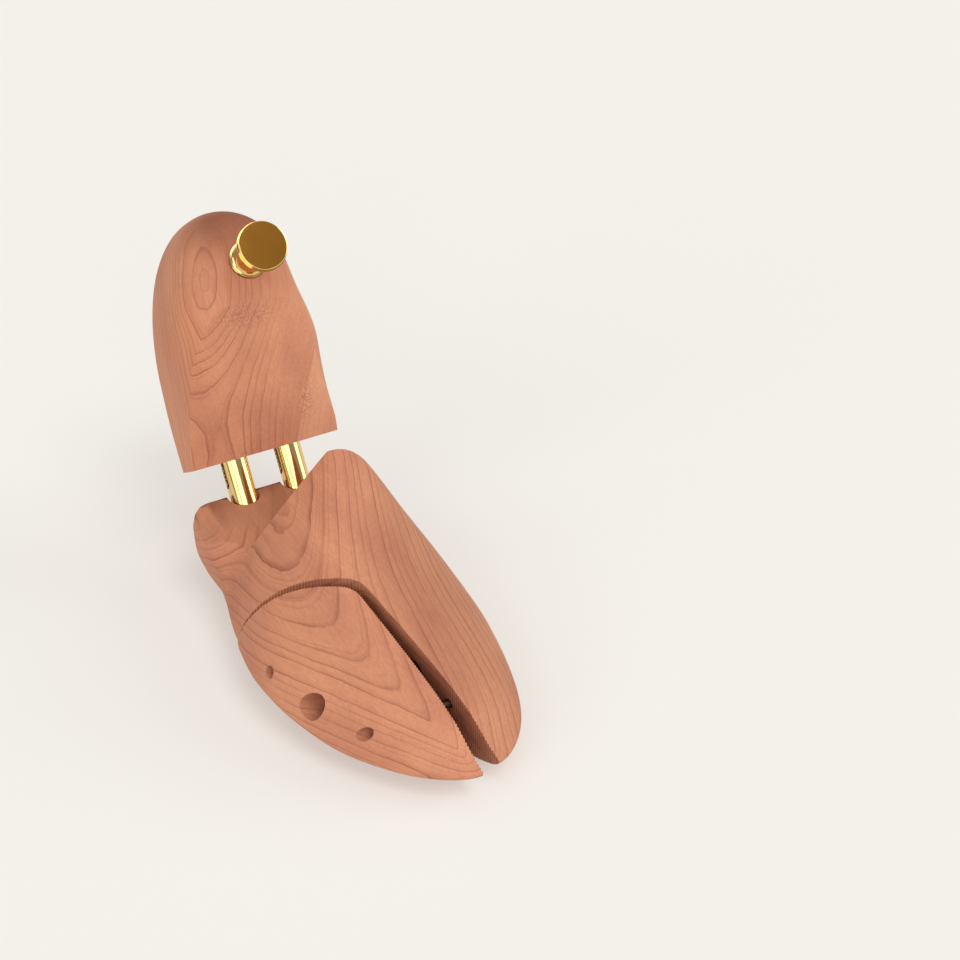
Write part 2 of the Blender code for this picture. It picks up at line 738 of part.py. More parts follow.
def heel_aside(back):
    """Sideways place of the heel block's middle, which leans inwards towards the rear."""
    share = (back - heel_face_from_hinge) / heel_length
    return heel_front_aside + (heel_rear_aside - heel_front_aside) * share


def heel_sizes(back):
    """Half width, top, widest level, bottom, ridge, flank fullness and lean behind the hinge."""
    share = (back - heel_face_from_hinge) / heel_length
    column = [flowing(heel_station_shares, k, share) for k in range(1, 8)]
    half, crown, level, ridge, outer_full, inner_full, lean = column
    past = max(0.0, (back - heel_round_start) / (heel_rear - heel_round_start))
    plan = max(0.0, 1.0 - past ** heel_round_fullness) ** (1.0 / heel_round_fullness)
    drop_start = heel_round_start + (heel_rear - heel_round_start) * heel_drop_start_share
    drop = max(0.0, (back - drop_start) / (heel_rear - drop_start))
    shrink = max(0.0, 1.0 - drop ** heel_end_fullness) ** (1.0 / heel_end_fullness)
    top = heel_tip_level + (crown * heel_crown - heel_tip_level) * shrink
    widest = heel_tip_level + (level - 1.0) * heel_tip_level * shrink
    spill = heel_underside * (1.0 + heel_underside_spill_share)
    bottom = heel_tip_level + (spill - heel_tip_level) * shrink
    half *= heel_half_width * plan
    return half, top, widest, bottom, ridge * half, outer_full, inner_full, lean


def heel_ring(back):
    """Cross section of the heel block at a distance behind the hinge."""
    half, top, widest, bottom, ridge, outer_full, inner_full, lean = heel_sizes(back)
    aside = heel_aside(back)
    section = ring_shape(aside - half, aside + half, aside + ridge, top, widest, bottom, heel_underside,
                         outer_full, inner_full, heel_lower_fullness, lean)
    return [(-back, y, z) for y, z in section]


def heel_places():
    body_steps = heel_rings // 3
    end_steps = heel_rings - body_steps
    places = [heel_face_from_hinge + (heel_round_start - heel_face_from_hinge) * k / body_steps
              for k in range(body_steps)]
    last_turn = math.asin(last_ring_share)
    places += [heel_round_start + (heel_rear - heel_round_start) * math.sin(last_turn * k / end_steps)
               for k in range(end_steps + 1)]
    return places


heel_rows = [heel_ring(back) for back in heel_places()]
heel_block = add_object("heel_block", loft("heel_block", heel_rows), tube_axis,
                        make_material("heel_block_cedar", cedar, 0.0, 0.55))
soften(heel_block.data)

# Slanted flat on top of the heel block, from the front face's top edge up to the crown
facet_rise = heel_length * math.tan(facet_angle)
ahead_of_face = cut_overrun * math.tan(facet_angle)
heel_reach = heel_half_width + cut_overrun
facet_outline = (
    (-(heel_face_from_hinge - cut_overrun), -heel_reach, heel_face_top - ahead_of_face),
    (-(heel_face_from_hinge + heel_length), -heel_reach, heel_face_top + facet_rise),
    (-(heel_face_from_hinge - cut_overrun), -heel_reach, heel_face_top + facet_rise),
)
facet_mesh = extrude_outline("heel_facet", facet_outline, (0.0, 2.0 * heel_reach, 0.0))
facet_cutter = add_object("heel_facet", facet_mesh, tube_axis)

# Smaller flat beside it on the inner side, widening towards the front face
facet_low = Vector((-heel_face_from_hinge, side_facet_start_aside, heel_face_top))
facet_outer = Vector((-heel_face_from_hinge, heel_half_width, heel_face_top - side_facet_drop))
facet_peak = Vector((-(heel_face_from_hinge + side_facet_reach), side_facet_peak_aside,
                     heel_face_top + side_facet_reach * math.tan(facet_angle)))
facet_normal = (facet_outer - facet_low).cross(facet_peak - facet_low).normalized()
if facet_normal.z < 0.0:
    facet_normal.negate()
plane_turn = Vector((0.0, 0.0, 1.0)).rotation_difference(facet_normal).to_matrix().to_4x4()
slab_corners = [(-heel_length, -heel_length, 0.0), (heel_length, -heel_length, 0.0),
                (heel_length, heel_length, 0.0), (-heel_length, heel_length, 0.0)]
side_mesh = extrude_outline("heel_side_facet", slab_corners, (0.0, 0.0, heel_length))
side_mesh.transform(Matrix.Translation(facet_low) @ plane_turn)
side_cutter = add_object("heel_side_facet", side_mesh, tube_axis)
for thing in (facet_cutter, side_cutter):
    as_cutter(thing)
    cut(heel_block, thing)

# Blind tube bores and the cross pin's bore
for side_name, aside in tube_sides:
    bore = add_object("heel_bore_" + side_name,
                      rod_back("heel_bore_" + side_name, tube_radius + tube_bore_clearance,
                               heel_face_from_hinge - cut_overrun, heel_face_from_hinge + heel_bore_depth,
                               (0.0, aside, 0.0)), tube_axis)
    as_cutter(bore)
    cut(heel_block, bore)
pin_place = (-heel_pin_from_hinge, 0.0, 0.0)
pin_bore_mesh = rod_y("heel_pin_bore", heel_pin_radius + touch_gap, -heel_pin_length / 2.0 - touch_gap,
                      heel_half_width + cut_overrun, pin_place)
pin_bore = add_object("heel_pin_bore", pin_bore_mesh, tube_axis)
as_cutter(pin_bore)
cut(heel_block, pin_bore)
add_object("heel_cross_pin", rod_y("heel_cross_pin", heel_pin_radius, -heel_pin_length / 2.0,
                                   heel_pin_length / 2.0, pin_place), tube_axis,
           make_material("heel_cross_pin_steel", steel, 1.0, 0.35))

# Knob, its stud and the flat spot that it seats on
knob_from_hinge = heel_face_from_hinge + heel_length * knob_back_share
knob_seat_height = heel_sizes(knob_from_hinge)[1] - knob_seat_depth
knob_spot = (-knob_from_hinge, knob_aside, knob_seat_height)
knob_place = Matrix.Translation(knob_spot) @ Matrix.Rotation(-knob_lean, 4, "Y")
shoulder_low = knob_height - knob_shoulder_height
lip_high = shoulder_low - knob_shoulder_step
lip_low = lip_high - knob_lip_height


def knob_curve(start, end, hollow):
    """Quarter turn between two (radius, height) places, hollow or rounded outwards."""
    points = []
    for k in range(1, knob_curve_steps):
        turn = math.pi / 2.0 * k / knob_curve_steps
        swift, slow = math.sin(turn), 1.0 - math.cos(turn)
        across, along = (swift, slow) if hollow else (slow, swift)
        points.append((start[0] + (end[0] - start[0]) * across, start[1] + (end[1] - start[1]) * along))
    return points


flange_top = (knob_flange_radius - knob_edge_bevel, knob_flange_height)
waist_low = (knob_neck_radius, knob_flange_height + knob_foot_flare_height)
waist_high = (knob_neck_radius, lip_low - knob_flare_height)
lip_under = (knob_lip_radius - knob_edge_bevel, lip_low)
shoulder = (knob_lip_radius - knob_shoulder_step, shoulder_low)
face_edge = (knob_face_radius, knob_height)
knob_profile = [
    (0.0, knob_stud_in_knob),
    (knob_stud_radius + touch_gap, knob_stud_in_knob),
    (knob_stud_radius + touch_gap, touch_gap),
    (knob_flange_radius - knob_edge_bevel, touch_gap),
    (knob_flange_radius, touch_gap + knob_edge_bevel),
    (knob_flange_radius, knob_flange_height - knob_edge_bevel),
    flange_top,
    *knob_curve(flange_top, waist_low, True),
    waist_low,
    waist_high,
    *knob_curve(waist_high, lip_under, False),
    lip_under,
    (knob_lip_radius, lip_low + knob_edge_bevel),
    (knob_lip_radius, lip_high),
    (knob_lip_radius - knob_shoulder_step, lip_high),
    shoulder,
    *knob_curve(shoulder, face_edge, False),
    face_edge,
    (0.0, knob_height),
]
knob_mesh = lathe("knob", knob_profile, knob_sides)
soften(knob_mesh, 30.0)
knob_mesh.transform(knob_place)
add_object("knob", knob_mesh, tube_axis, make_material("knob_brass", brass, 1.0, 0.12))

stud_top = knob_stud_in_knob - touch_gap
stud_mesh = lathe("knob_stud", rod_points(knob_stud_radius, -knob_stud_in_wood, stud_top), pin_sides)
stud_mesh.transform(knob_place)
add_object("knob_stud", stud_mesh, tube_axis, make_material("knob_stud_steel", steel, 1.0, 0.35))

seat_profile = rod_points(knob_flange_radius + touch_gap, 0.0, knob_height)
stud_hole_profile = rod_points(knob_stud_radius + touch_gap, -knob_stud_in_wood - touch_gap, knob_height)
for cut_name, profile in (("knob_seat", seat_profile), ("knob_stud_hole", stud_hole_profile)):
    mesh = lathe(cut_name, profile, round_sides)
    mesh.transform(knob_place)
    thing = add_object(cut_name, mesh, tube_axis)
    as_cutter(thing)
    cut(heel_block, thing)
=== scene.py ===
"""Looks of a cedar shoe tree: a split toe, two sprung brass tubes and a turned knob."""
import json
import math

import bmesh
import bpy
from mathutils import Matrix, Vector
from mathutils.kdtree import KDTree


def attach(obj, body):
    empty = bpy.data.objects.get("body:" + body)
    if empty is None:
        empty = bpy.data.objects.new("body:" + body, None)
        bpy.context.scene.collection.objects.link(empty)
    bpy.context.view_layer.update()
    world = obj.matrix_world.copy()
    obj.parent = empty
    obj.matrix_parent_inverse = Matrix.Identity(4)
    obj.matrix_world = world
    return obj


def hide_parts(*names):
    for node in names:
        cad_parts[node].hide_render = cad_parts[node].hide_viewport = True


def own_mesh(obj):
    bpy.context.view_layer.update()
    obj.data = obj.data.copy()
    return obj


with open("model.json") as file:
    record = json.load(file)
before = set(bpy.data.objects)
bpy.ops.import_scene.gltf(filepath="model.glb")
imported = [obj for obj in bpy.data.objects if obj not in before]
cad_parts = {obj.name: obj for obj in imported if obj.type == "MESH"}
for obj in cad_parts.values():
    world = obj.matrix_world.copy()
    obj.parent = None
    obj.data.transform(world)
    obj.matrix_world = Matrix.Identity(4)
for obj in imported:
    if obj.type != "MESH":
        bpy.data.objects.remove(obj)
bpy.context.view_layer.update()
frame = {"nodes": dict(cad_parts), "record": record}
bpy.ops.object.select_all(action="DESELECT")

# Camera
# It looks down from the outer front of the tree, as the photograph does. The lens is given by its
# length in pixels of the picture.
stand = Vector((0.42968, -0.19097, 0.37889))
aim = Vector((-0.07275, 0.09678, 0.0))
image_width = 960
focal_pixels = 1638
lens_data = bpy.data.cameras.new("photo_view")
camera = bpy.data.objects.new("photo_view", lens_data)
bpy.context.scene.collection.objects.link(camera)
camera.location = stand
camera.rotation_euler = (aim - stand).to_track_quat("-Z", "Y").to_euler()
lens_data.sensor_width = 36.0
lens_data.lens = lens_data.sensor_width * focal_pixels / image_width
lens_data.clip_start = 0.01
bpy.context.scene.camera = camera
bpy.context.scene.view_settings.view_transform = "Standard"

# Toe block and its flap
# One carved block of bare red cedar, sanded smooth. A coarse band saw parts the flap from it, and
# leaves upright ridges on both walls of the cut, which notch the top edge. The year rings lie round
# a bent heart line above the block, so that its rounded top cuts them in long nested loops.
toe_heart_place = (-0.010, 0.0, 0.0)
toe_heart_across = (-0.0444, 0.5299, -0.0055)
toe_heart_up = (0.0838, -0.4059, -3.611)
toe_heart_taper = 0.756
toe_ring_gap = 0.00322
toe_ring_phase = 0.71
toe_seed = 3.0
toe_crisp_angle = math.radians(20.0)
toe_soft_reach = 0.0055
ring_sway = 0.0018
ring_ripple = 0.0007
fine_ring_share = 0.23
fine_ring_strength = 0.48
eye_strength = 0.40
calm_share = 0.88
saw_corner = Vector((0.0175, -0.0030))
saw_side_end = Vector((-0.0050, -0.0400))
saw_toe_end = Vector((0.0900, 0.0100))
saw_corner_radius = 0.010
saw_kerf = 0.0014
saw_ridge_pitch = 0.00108
saw_ridge_bite = 0.00034
saw_overrun = 0.012
saw_bottom, saw_top = -0.010, 0.070
saw_tooth_overlap = 0.2
saw_blade_inner_side = 0.2
flap_pivot = Vector((-0.0250, -0.0400, 0.0))
flap_turn = -math.radians(2.75)
early_pale = (0.665, 0.288, 0.160, 1.0)
early_rosy = (0.560, 0.222, 0.130, 1.0)
late_line = (0.330, 0.104, 0.058, 1.0)
# Painted shade: sawn and bored walls are painted darker, more so deeper in, where shade falls.
recess_painted_shade = (0.70, 0.63, 0.60, 1.0)
# Painted shade deepest in the saw cut toward the tip.
deep_cut_painted_shade = (0.38, 0.345, 0.325, 1.0)
scuff_rose = (0.42, 0.150, 0.100, 1.0)
recess_depth = 0.007
longest_bent_edge = 0.0085
flattest_shared_facing = 0.94
bent_edge_lift = 0.25
ground_level = 0.0001
hole_wall_slant = 0.4


class Value:
    """A shader socket that can be added, multiplied and so on like a number."""

    def __init__(self, finish, socket):
        self.finish = finish
        self.socket = socket

    def math(self, operation, *terms):
        return self.finish.node("Math", {"operation": operation}, *terms)

    def __add__(self, other):
        return self.math("ADD", self, other)

    def __radd__(self, other):
        return self.math("ADD", other, self)

    def __sub__(self, other):
        return self.math("SUBTRACT", self, other)

    def __rsub__(self, other):
        return self.math("SUBTRACT", other, self)

    def __mul__(self, other):
        return self.math("MULTIPLY", self, other)

    def __rmul__(self, other):
        return self.math("MULTIPLY", other, self)

    def __truediv__(self, other):
        return self.math("DIVIDE", self, other)

    def __rtruediv__(self, other):
        return self.math("DIVIDE", other, self)

    def __pow__(self, other):
        return self.math("POWER", self, other)

    def __rpow__(self, other):
        return self.math("POWER", other, self)


class Finish:
    """A node material being put together round one Principled shader."""

    def __init__(self, name, **constants):
        self.material = bpy.data.materials.new(name)
        self.material.use_nodes = True
        self.tree = self.material.node_tree
        self.shader = self.tree.nodes["Principled BSDF"]
        for socket, value in constants.items():
            self.shader.inputs[socket.replace("_", " ")].default_value = value

    def join(self, socket, value):
        """Links a value to a socket, or sets the socket to a number, vector or colour."""
        if isinstance(value, Value):
            self.tree.links.new(value.socket, socket)
        elif value is not None:
            socket.default_value = value

    def node(self, kind, settings=None, *values, output=0, **named):
        """Adds one node: its settings first, then its sockets in order, then its sockets by name."""
        made = self.tree.nodes.new("ShaderNode" + kind)
        for key, value in (settings or {}).items():
            if key == "stops":
                while len(made.color_ramp.elements) < len(value):
                    made.color_ramp.elements.new(0.5)
                for element, (place, colour) in zip(made.color_ramp.elements, value):
                    element.position = place
                    element.color = (*colour, 1.0) if len(colour) == 3 else colour
            else:
                setattr(made, key, value)
        for socket, value in zip(made.inputs, values):
            self.join(socket, value)
        for name, value in named.items():
            free = [s for s in made.inputs if s.name == name.replace("_", " ") and s.enabled]
            self.join(free[0], value)
        shown = [s for s in made.outputs if s.enabled]
        return Value(self, shown[output] if isinstance(output, int) else made.outputs[output])

    def blend(self, share, first, second, way="MIX"):
        """Mix of two colours by a share from 0 to 1."""
        return self.node("Mix", {"data_type": "RGBA", "blend_type": way}, Factor=share, A=first, B=second)

    def ramp(self, value, *stops):
        """Grey level along a ramp of (place, level) stops."""
        return self.node("ValToRGB", {"stops": tuple((place, (level,) * 3) for place, level in stops)}, value)

    def stretched(self, vector, scale, seed, detail=2.0, roughness=0.5):
        """Noise drawn out along the grain."""
        drawn = self.node("VectorMath", {"operation": "MULTIPLY"}, vector, scale)
        return self.node("TexNoise", {"noise_dimensions": "4D"}, Vector=drawn, W=seed, Scale=1.0,
                         Detail=detail, Roughness=roughness)

    def spot(self, vector, centre, size, hard=0.3):
        """Soft-edged patch round a place: 1 inside, 0 outside."""
        apart = self.node("VectorMath", {"operation": "SUBTRACT"}, vector, centre)
        share = self.node("VectorMath", {"operation": "DIVIDE"}, apart, size)
        reach = self.node("VectorMath", {"operation": "LENGTH"}, share, output="Value")
        return self.node("MapRange", {"interpolation_type": "SMOOTHSTEP"}, reach, 1.0, hard, 0.0, 1.0)

    def carried(self, name):
        """Value that the mesh carries under a name."""
        return self.node("Attribute", {"attribute_name": name}, output="Fac")

    def drive(self, **sockets):
        """Links values to the shader's own sockets."""
        for name, value in sockets.items():
            self.join(self.shader.inputs[name.replace("_", " ")], value)
        return self.material


def cedar(name, place, lie, across_bend, up_bend, taper, ring_gap, phase, seed, painted_light_and_tone_patches=(), flat_tone_and_light=(),
          calm=None, scuffs=(), deep_cut_shade=None, eye=None):
    """Cedar whose rings lie round a bent heart line. A patch is a place, a size and a tint of painted shade
    or painted light, one also a darker tone of the wood, and each flat that the mesh marks has a tint,
    partly paler sanded end grain and partly painted light. Calm is a place and a size where the rings
    are faint, scuffs are places and sizes with short slanting scratches, the deep cut shade is where
    the cut walls get their darkest painted shade, and eye is where the fine rings show most."""
    finish = Finish(name, IOR=1.42, Specular_IOR_Level=0.28)
    own = finish.node("TexCoord", output="Object")
    here = finish.node("Mapping", {"vector_type": "TEXTURE"}, Vector=own, Location=place, Rotation=lie)
    split = finish.node("SeparateXYZ", None, here).socket.node.outputs
    along, across, upward = (Value(finish, socket) for socket in split)
    sway = finish.stretched(here, (16.0, 60.0, 60.0), seed, 1.0)
    ripple = finish.stretched(here, (110.0, 330.0, 330.0), seed + 1.0, 2.0)
    aside = across - (along * (along * across_bend[2] + across_bend[1]) + across_bend[0])
    above = upward - (along * (along * up_bend[2] + up_bend[1]) + up_bend[0])
    distance = (aside * aside + above * above) ** 0.5 + along * taper
    distance = distance + sway * ring_sway + ripple * ring_ripple
    uneven = finish.node("TexNoise", {"noise_dimensions": "1D"}, W=distance * 160.0 + seed, Scale=1.0,
                         Detail=1.0)
    count = distance / ring_gap + uneven * 0.9 + phase
    year = finish.node("Math", {"operation": "FLOOR"}, count)
    season = finish.node("Math", {"operation": "FRACT"}, count)
    keen = finish.node("TexWhiteNoise", {"noise_dimensions": "1D"}, W=year + seed, output="Value")
    line = finish.ramp(season, (0.0, 0.35), (0.025, 0.0), (0.48, 0.0), (0.83, 0.24), (0.93, 0.85),
                       (0.98, 1.0), (1.0, 0.35))
    thin_count = distance / (ring_gap * fine_ring_share) + uneven * 3.0
    thin_year = finish.node("Math", {"operation": "FLOOR"}, thin_count)
    thin_season = finish.node("Math", {"operation": "FRACT"}, thin_count)
    thin_keen = finish.node("TexWhiteNoise", {"noise_dimensions": "1D"}, W=thin_year + seed, output="Value")
    thin_line = finish.ramp(thin_season, (0.0, 0.3), (0.08, 0.0), (0.50, 0.0), (0.88, 0.8), (0.95, 1.0),
                            (1.0, 0.3))
    fading = finish.stretched(here, (30.0, 140.0, 140.0), seed + 5.0, 1.0)
    fade = finish.ramp(fading, (0.30, 0.45), (0.60, 1.0))
    fibre = finish.stretched(here, (90.0, 1300.0, 1300.0), seed + 2.0, 3.0, 0.6)
    cloud = finish.stretched(here, (16.0, 60.0, 60.0), seed + 3.0, 3.0)
    tone = finish.node("ValToRGB", {"stops": ((0.34, early_rosy), (0.64, early_pale))}, cloud)
    fibre_stops = ((0.30, (0.91, 0.88, 0.86)), (0.62, (1.04, 1.04, 1.03)))
    fibre_tone = finish.node("ValToRGB", {"stops": fibre_stops}, fibre)
    ground = finish.blend(1.0, tone, fibre_tone, "MULTIPLY")
    # Patches of painted shade and painted light; one on the heel is also a darker tone of the wood.
    for patch_place, patch_size, tint in painted_light_and_tone_patches:
        mask = finish.spot(here, patch_place, patch_size)
        ground = finish.blend(mask, ground, tint, "MULTIPLY")
    # Flats: partly paler sanded end grain, partly painted light.
    for mark, tint in flat_tone_and_light:
        ground = finish.blend(finish.carried(mark), ground, tint, "MULTIPLY")
    if calm:
        fade = fade * (1.0 - finish.spot(here, *calm) * calm_share)
    strength = (keen * 0.42 + 0.56) * line * fade
    ringed = finish.blend(strength, ground, late_line)
    fine = thin_keen * thin_keen * fade * fine_ring_strength
    if eye:
        fine = fine + finish.spot(here, *eye) * eye_strength
    ringed = finish.blend(fine * thin_line, ringed, late_line)
    for scuff_place, scuff_size in scuffs:
        slant = finish.node("VectorRotate", {"rotation_type": "EULER_XYZ"}, Vector=here,
                            Rotation=(0.0, 0.5, 0.7))
        scored = finish.stretched(slant, (300.0, 1700.0, 1700.0), seed, 1.0)
        scratch = finish.ramp(scored, (0.50, 0.0), (0.60, 0.8))
        scuffed = finish.spot(here, scuff_place, scuff_size, 0.1)
        ringed = finish.blend(scuffed * scratch, ringed, scuff_rose)
    # Painted shade on the sawn and bored walls, darker with depth.
    recess = finish.carried("recess")
    colour = finish.blend(recess, ringed, recess_painted_shade, "MULTIPLY")
    # Painted shade, darkest on the cut walls toward the tip.
    if deep_cut_shade:
        colour = finish.blend(recess * finish.spot(here, *deep_cut_shade), colour, deep_cut_painted_shade, "MULTIPLY")
    bump = finish.node("Bump", None, Strength=0.16, Distance=0.0003, Height=fibre * 0.6 - line * 0.3)
    return finish.drive(Base_Color=colour, Roughness=fibre * 0.14 + 0.52, Normal=bump)


def joined_copy(node, name, material=None):
    """Joined-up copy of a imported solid. Wood is given twice, so that cut walls have a slot of their
    own until they are marked."""
    source = frame["nodes"][node]
    mesh = source.data.copy()
    mesh.name = name
    block = bpy.data.objects.new(name, mesh)
    bpy.context.scene.collection.objects.link(block)
    shape = bmesh.new()
    shape.from_mesh(mesh)
    bmesh.ops.remove_doubles(shape, verts=shape.verts, dist=0.00001)
    shape.to_mesh(mesh)
    shape.free()
    mesh.materials.clear()
    if material:
        mesh.materials.append(material)
        mesh.materials.append(material)
    return block


def softened(block, crisp_angle, reach, levels=2):
    """Rounds the facets between crisp edges: each corner takes the mean direction of the faces round it,
    and each triangle is split with its new points lifted to the curve that those directions give.
    Sawn and bored walls get a mark of painted shade that grows with their depth, so that the wood is painted
    darker deeper in the cut and the holes."""
    shape = bmesh.new()
    shape.from_mesh(block.data)
    bmesh.ops.triangulate(shape, faces=shape.faces)
    shape.faces.ensure_lookup_table()
    sheet = [-1] * len(shape.faces)
    count = 0
    for first in shape.faces:
        if sheet[first.index] >= 0:
            continue
        waiting = [first]
        sheet[first.index] = count
        while waiting:
            for edge in waiting.pop().edges:
                if len(edge.link_faces) == 2 and edge.calc_face_angle(math.pi) < crisp_angle:
                    for other in edge.link_faces:
                        if sheet[other.index] < 0:
                            sheet[other.index] = count
                            waiting.append(other)
        count += 1
    centres = KDTree(len(shape.faces))
    areas = [face.calc_area() for face in shape.faces]
    for face in shape.faces:
        centres.insert(face.calc_center_median(), face.index)
    centres.balance()
    known = {}
    for face in shape.faces:
        for vert in face.verts:
            key = (vert.index, sheet[face.index])
            if key in known:
                continue
            own, mean = Vector(), Vector()
            for near in vert.link_faces:
                if sheet[near.index] == key[1]:
                    own += near.normal * areas[near.index]
            mean += own * 0.5
            own.normalize()
            for place, index, gap in centres.find_range(vert.co, reach):
                near = shape.faces[index]
                if sheet[index] == key[1] and near.normal.dot(own) > flattest_shared_facing:
                    mean += near.normal * areas[index] * (1.0 - (gap / reach) ** 2)
            known[key] = mean.normalized()
    places = [vert.co.copy() for vert in shape.verts]
    corners = [[vert.index for vert in face.verts] for face in shape.faces]
    walls = [face.material_index for face in shape.faces]
    outer = [vert for vert in shape.verts if any(not face.material_index for face in vert.link_faces)]
    skin = KDTree(len(outer))
    for vert in outer:
        skin.insert(vert.co, vert.index)
    skin.balance()
    shape.free()
    for level in range(levels):
        beside = {}
        for index, (a, b, c) in enumerate(corners):
            for edge in ((a, b), (b, c), (c, a)):
                beside.setdefault(tuple(sorted(edge)), set()).add(sheet[index])
        middles = {}
        for (a, b), sheets in beside.items():
            middle = (places[a] + places[b]) * 0.5
            number = len(places)
            for one in sheets:
                known[number, one] = (known[a, one] + known[b, one]).normalized()
            short = (places[a] - places[b]).length < longest_bent_edge / 2 ** level
            if len(sheets) == 1 and short and max(places[a].z, places[b].z) > ground_level:
                lift = Vector()
                for end in (a, b):
                    facing = known[end, one]
                    lift += facing * ((places[end] - middle).dot(facing) * bent_edge_lift)
                middle = middle + lift
            middles[a, b] = number
            places.append(middle)
        split_corners, split_sheet, split_walls = [], [], []
        for index, (a, b, c) in enumerate(corners):
            ab, bc, ca = (middles[tuple(sorted(edge))] for edge in ((a, b), (b, c), (c, a)))
            split_corners += [[a, ab, ca], [ab, b, bc], [ca, bc, c], [ab, bc, ca]]
            split_sheet += [sheet[index]] * 4
            split_walls += [walls[index]] * 4
        corners, sheet, walls = split_corners, split_sheet, split_walls
    mesh = bpy.data.meshes.new(block.data.name)
    mesh.from_pydata(places, [], corners)
    old = block.data
    block.data = mesh
    bpy.data.meshes.remove(old)
    mesh.shade_smooth()
    mesh.normals_split_custom_set([known[v, one] for tri, one in zip(corners, sheet) for v in tri])
    # Depth of each wall corner below the outer skin, for the painted recess shade.
    depth = {v: min(1.0, skin.find(places[v])[2] / recess_depth)
             for tri, wall in zip(corners, walls) if wall for v in tri}
    marks = mesh.attributes.new("recess", "FLOAT", "CORNER")
    marks.data.foreach_set("value", [0.50 + 0.50 * depth[v] if wall else 0.0
                                     for tri, wall in zip(corners, walls) for v in tri])
    return block


def long_line(node):
    """Middle of a rod and the direction of its length."""
    points = [vert.co for vert in frame["nodes"][node].data.vertices]
    first = max(points, key=lambda point: (point - points[0]).length)
    last = max(points, key=lambda point: (point - first).length)
    return sum(points, Vector()) / len(points), (last - first).normalized()


def bored(block, rods):
    """Marks the walls of the holes that rods pass through."""
    for rod, radius in rods:
        middle, line = long_line(rod)
        for face in block.data.polygons:
            apart = face.center - middle
            out = apart - line * apart.dot(line)
            if out.length < radius and abs(face.normal.dot(line)) < hole_wall_slant:
                face.material_index = 1


def finish_piece(piece, material, body, node):
    """Gives a piece its material and the body it rides on, and hides the solid it stands for."""
    piece.data.materials.append(material)
    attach(piece, body)
    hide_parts(node)


def smooth_piece(piece, angle=38.0):
    """Shades a turned or drawn piece smooth, with its corners kept crisp."""
    piece.data.shade_smooth()
    piece.data.set_sharp_from_angle(angle=math.radians(angle))


def saw_stations(offset, spacing):
    """Places and headings along one wall of the saw cut."""
    back = (saw_side_end - saw_corner).normalized()
    ahead = (saw_toe_end - saw_corner).normalized()
    half = back.angle(ahead) / 2.0
    reach = saw_corner_radius / math.tan(half)
    centre = saw_corner + (back + ahead).normalized() * (saw_corner_radius / math.sin(half))
    start, end = saw_corner + back * reach, saw_corner + ahead * reach
    first = math.atan2(start.y - centre.y, start.x - centre.x)
    last = math.atan2(end.y - centre.y, end.x - centre.x)
    sweep = (last - first + math.pi) % (2.0 * math.pi) - math.pi
    run = (saw_side_end - start).length + saw_overrun
    stations = [(start + back * (run - k * spacing), -back) for k in range(int(run / spacing))]
    turns = max(2, int(abs(sweep) * saw_corner_radius / spacing))
    for k in range(turns):
        angle = first + sweep * k / turns
        out = Vector((math.cos(angle), math.sin(angle)))
        heading = Vector((-out.y, out.x)) * math.copysign(1.0, sweep)
        stations.append((centre + out * saw_corner_radius, heading))
    run = (saw_toe_end - end).length + saw_overrun
    stations += [(end + ahead * (k * spacing), ahead) for k in range(int(run / spacing))]
    return [(place + Vector((heading.y, -heading.x)) * offset, heading) for place, heading in stations]


def saw_ridges(block, side, turn):
    """Takes a comb-edged slice off one wall of the cut, so that upright ridges stay on it."""
    wall = side * saw_kerf / 2.0
    outline = []
    for index, (place, heading) in enumerate(saw_stations(wall, saw_ridge_pitch / 2.0)):
        bite = saw_ridge_bite if index % 2 else -saw_ridge_bite * saw_tooth_overlap
        outline.append(place + Vector((heading.y, -heading.x)) * side * bite)
    inner_side = saw_stations(wall * saw_blade_inner_side, saw_ridge_pitch * 2.0)
    outline += [place for place, heading in reversed(inner_side)]
    count = len(outline)
    if sum(a.cross(b) for a, b in zip(outline, outline[1:] + outline[:1])) < 0.0:
        outline.reverse()
    rows = [(spot.x, spot.y, height) for height in (saw_bottom, saw_top) for spot in outline]
    sides = [(k, (k + 1) % count, (k + 1) % count + count, k + count) for k in range(count)]
    ends = [tuple(reversed(range(count))), tuple(range(count, 2 * count))]
    blade_mesh = bpy.data.meshes.new("saw_comb")
    blade_mesh.from_pydata(rows, [], sides + ends)
    for face in blade_mesh.polygons:
        face.material_index = 1
    blade = bpy.data.objects.new("saw_comb", blade_mesh)
    bpy.context.scene.collection.objects.link(blade)
    blade_mesh.transform(Matrix.Translation(flap_pivot) @ Matrix.Rotation(turn, 4, "Z")
                         @ Matrix.Translation(-flap_pivot))
    bpy.context.view_layer.objects.active = block
    sawing = block.modifiers.new("saw", "BOOLEAN")
    sawing.object = blade
    sawing.operation = "DIFFERENCE"
    sawing.solver = "EXACT"
    bpy.ops.object.modifier_apply(modifier=sawing.name)
    bpy.data.objects.remove(blade)


# Painted shade: the shelf under the heel and beside the tongue, the outer flank low at the rear, and the
# inner side of the main body toward the tip.
toe_painted_shade = (((-0.046, 0.000, 0.029), (0.028, 0.046, 0.011), (0.72, 0.74, 0.74, 1.0)),
               ((-0.022, -0.040, 0.018), (0.030, 0.014, 0.022), (0.84, 0.82, 0.80, 1.0)),
               ((0.040, 0.024, 0.026), (0.120, 0.034, 0.050), (0.87, 0.88, 0.88, 1.0)))
toe_eye = ((-0.019, -0.014, 0.044), (0.018, 0.017, 0.016))
toe_calm = ((-0.050, -0.018, 0.030), (0.024, 0.032, 0.012))
